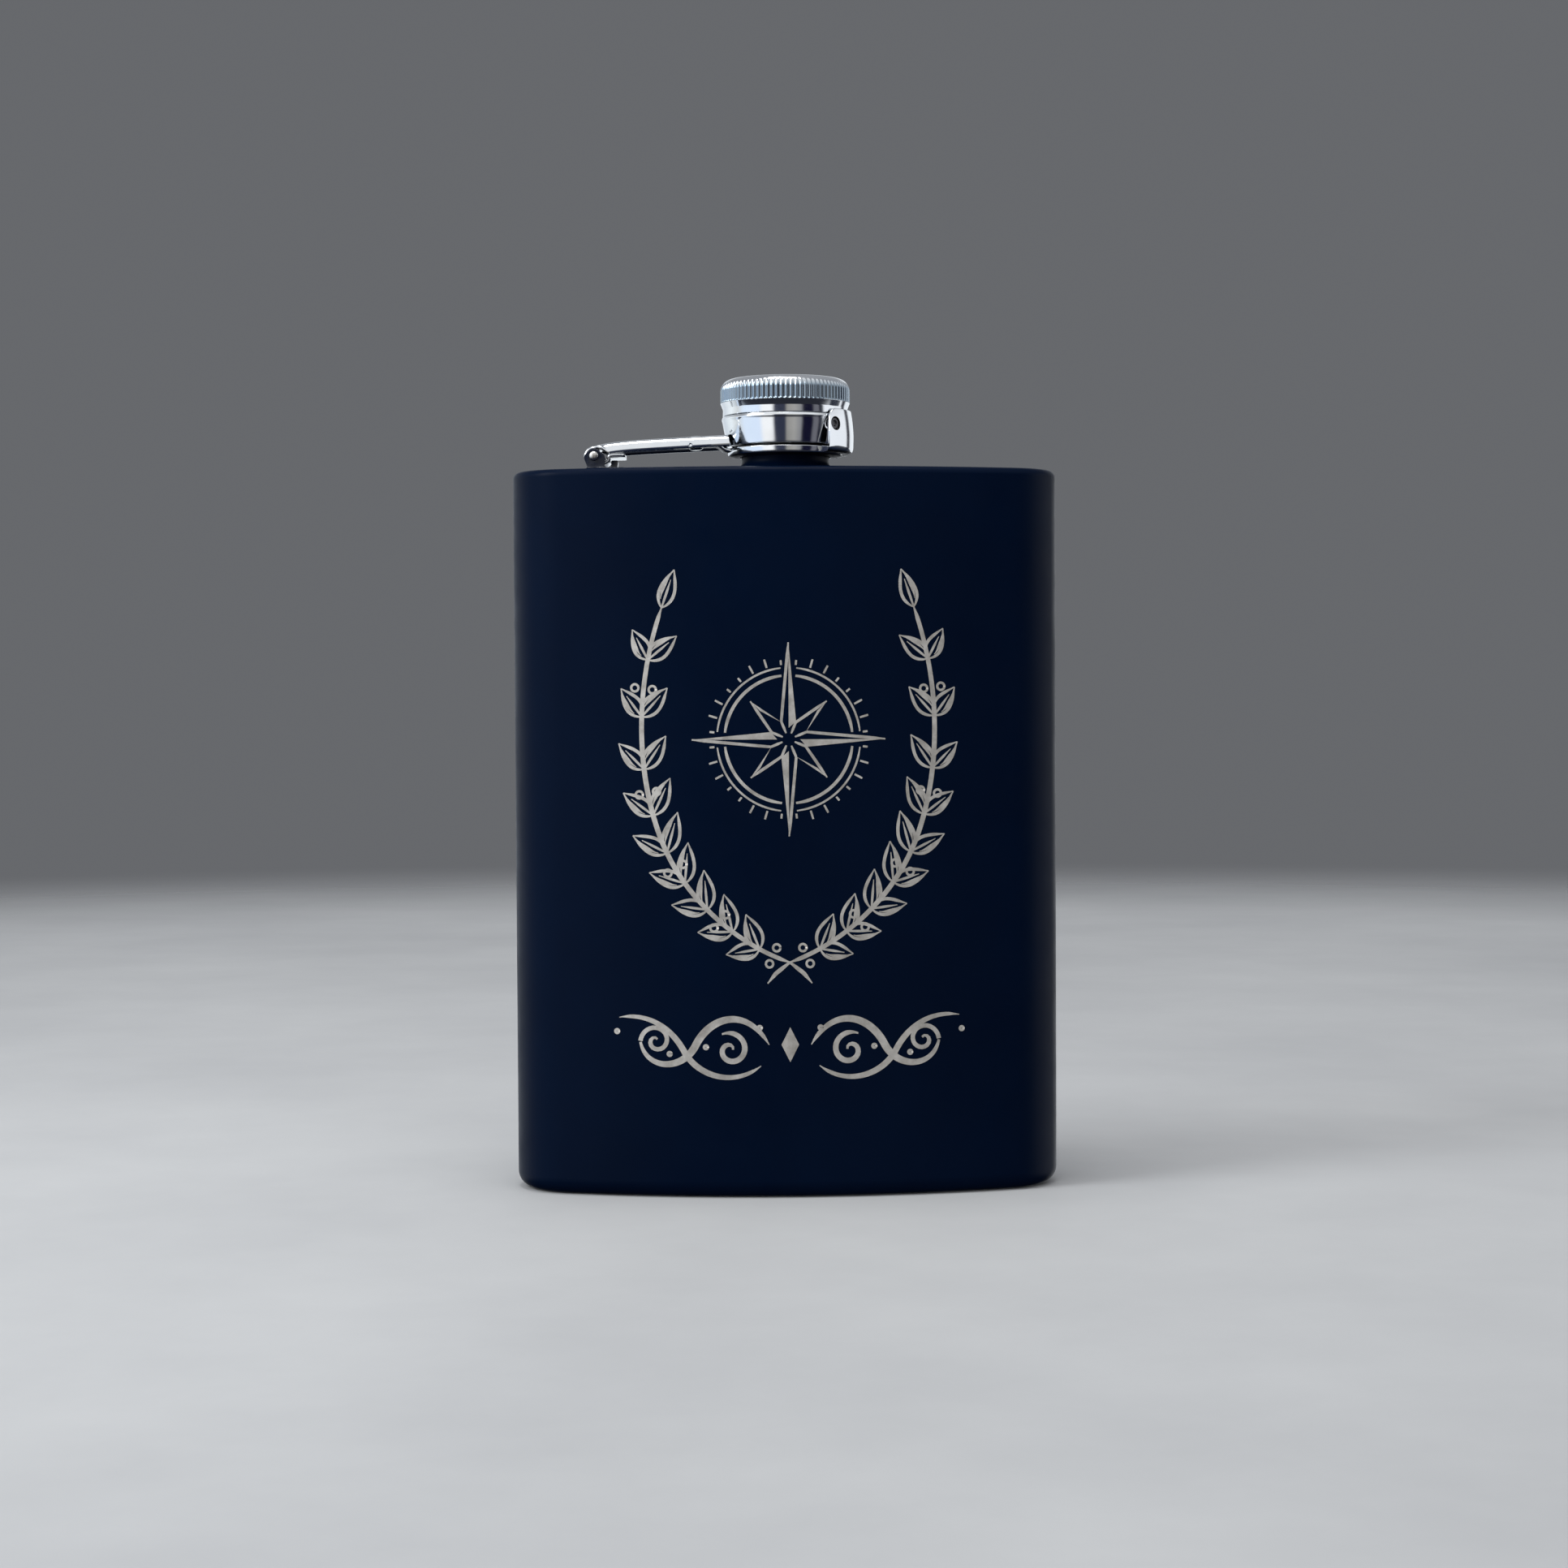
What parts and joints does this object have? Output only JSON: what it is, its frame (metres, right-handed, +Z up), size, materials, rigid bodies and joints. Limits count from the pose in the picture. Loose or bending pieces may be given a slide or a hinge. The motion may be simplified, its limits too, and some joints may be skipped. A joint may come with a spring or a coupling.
{
  "type": "hip flask",
  "caption": "Curved pocket flask with a powder coated steel body and a captive knurled screw cap on a hinged side arm.",
  "frame": {"origin": "on the ground, under the middle of the flask's overall box", "axes": "+X to the right of the front, away from the lid's hinge; the convex front faces -Y; +Z up"},
  "size_m": [0.095, 0.0284, 0.1406],
  "materials": {
    "powder_coat": "fine matt powder coat, navy",
    "polished_steel": "polished bright",
    "satin_steel": "satin",
    "engraving": "laser-marked bare steel",
    "cap_core": "moulded, satin",
    "seal": "soft matt silicone"
  },
  "bodies": {
    "flask": {"body_shell": "powder_coat", "top_plate": "powder_coat", "base_plate": "powder_coat", "neck_spout": "powder_coat", "hinge_bracket": "powder_coat", "hinge_pin": "polished_steel"},
    "arm": {"arm_strap": "polished_steel", "arm_yoke": "polished_steel", "arm_rivet": "polished_steel", "pivot_rivet_front": "satin_steel", "pivot_rivet_rear": "satin_steel"},
    "collar": {"cap_collar": "polished_steel"},
    "cap": {"cap_shell": "polished_steel", "cap_core": "cap_core", "cap_seal": "seal", "retaining_ring": "satin_steel"}
  },
  "joints": [
    {"name": "arm_swing", "type": "hinge", "parent": "flask", "child": "arm", "pos_m": [-0.033, -0.00266, 0.1272], "axis": [0, -1, 0], "range_deg": [0, 170]},
    {"name": "collar_tilt", "type": "hinge", "parent": "arm", "child": "collar", "pos_m": [0.00762, -0.00266, 0.1324], "axis": [0, 1, 0], "range_deg": [0, 7]},
    {"name": "cap_spin", "type": "hinge", "parent": "collar", "child": "cap", "pos_m": [0, -0.00266, 0.134], "axis": [0, 0, 1], "continuous": true}
  ]
}
